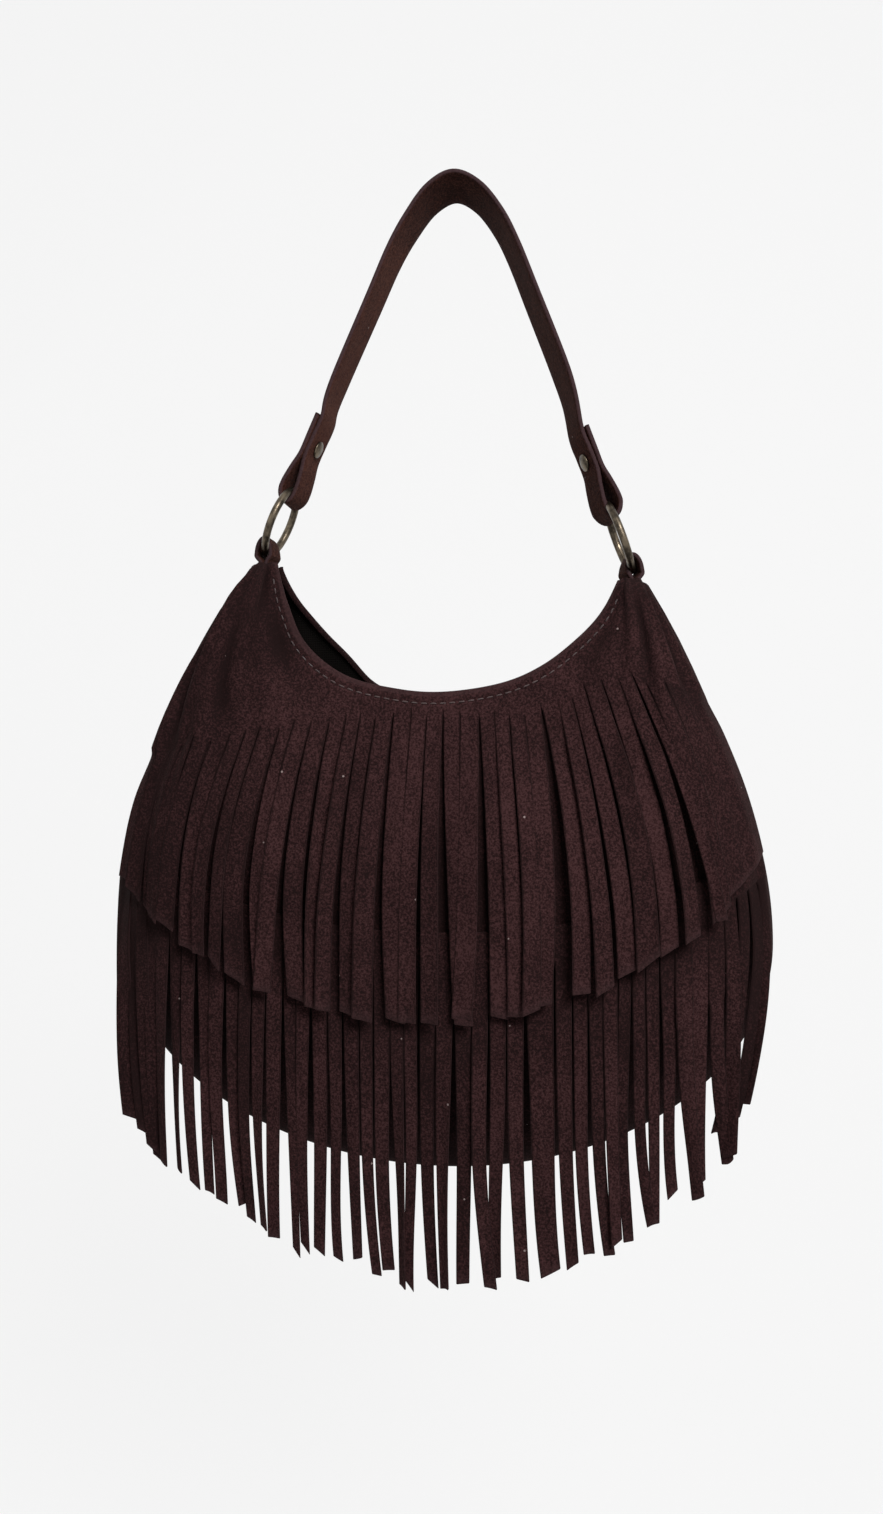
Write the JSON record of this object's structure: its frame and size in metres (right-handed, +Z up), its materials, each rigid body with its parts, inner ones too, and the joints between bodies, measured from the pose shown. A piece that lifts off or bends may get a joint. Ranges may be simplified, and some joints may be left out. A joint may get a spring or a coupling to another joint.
{
  "type": "fringed suede shoulder bag",
  "caption": "Soft hobo-style suede shoulder bag with two layers of long cut fringe on its front, a folded strap and brass rings.",
  "frame": {"origin": "underside of the strap at its highest point, where a hook or a hand holds the bag", "axes": "+Z up, the fringed front faces -Y, +X to the right as seen from the front"},
  "size_m": [0.349, 0.0901, 0.5678],
  "materials": {
    "body_suede": "dark brown suede with a short nap",
    "fringe_suede": "dark brown suede with a short nap, cut into strands",
    "strap_suede": "dark brown leather, nap outside and smoother inside",
    "lining_cloth": "black woven lining",
    "old_brass": "antique brass, dark in the recesses"
  },
  "bodies": {
    "strap": {"strap": "strap_suede", "left_rivet_cap": "old_brass", "left_rivet_post": "old_brass", "right_rivet_cap": "old_brass", "right_rivet_post": "old_brass"},
    "bag": {"front_panel": "body_suede", "back_panel": "body_suede", "front_lining": "lining_cloth", "back_lining": "lining_cloth", "upper_fringe": "fringe_suede", "lower_fringe": "fringe_suede", "left_tab": "strap_suede", "right_tab": "strap_suede"},
    "left_ring": {"left_ring": "old_brass"},
    "right_ring": {"right_ring": "old_brass"}
  },
  "joints": [
    {"name": "bag_swing", "type": "hinge", "parent": "strap", "child": "bag", "pos_m": [-0.0037, 0, -0.1802], "axis": [0.9979, 0, -0.0646], "range_deg": [-45, 45]},
    {"name": "left_ring_turn", "type": "hinge", "parent": "strap", "child": "left_ring", "pos_m": [-0.0933, 0, -0.1744], "axis": [0.9979, 0, -0.0646], "range_deg": [-22.5, 22.5]},
    {"name": "right_ring_turn", "type": "hinge", "parent": "strap", "child": "right_ring", "pos_m": [0.0859, 0, -0.186], "axis": [0.9979, 0, -0.0646], "range_deg": [-22.5, 22.5]}
  ],
  "couplings": [
    {"joint": "left_ring_turn", "follows": "bag_swing", "ratio": 0.5},
    {"joint": "right_ring_turn", "follows": "bag_swing", "ratio": 0.5}
  ]
}
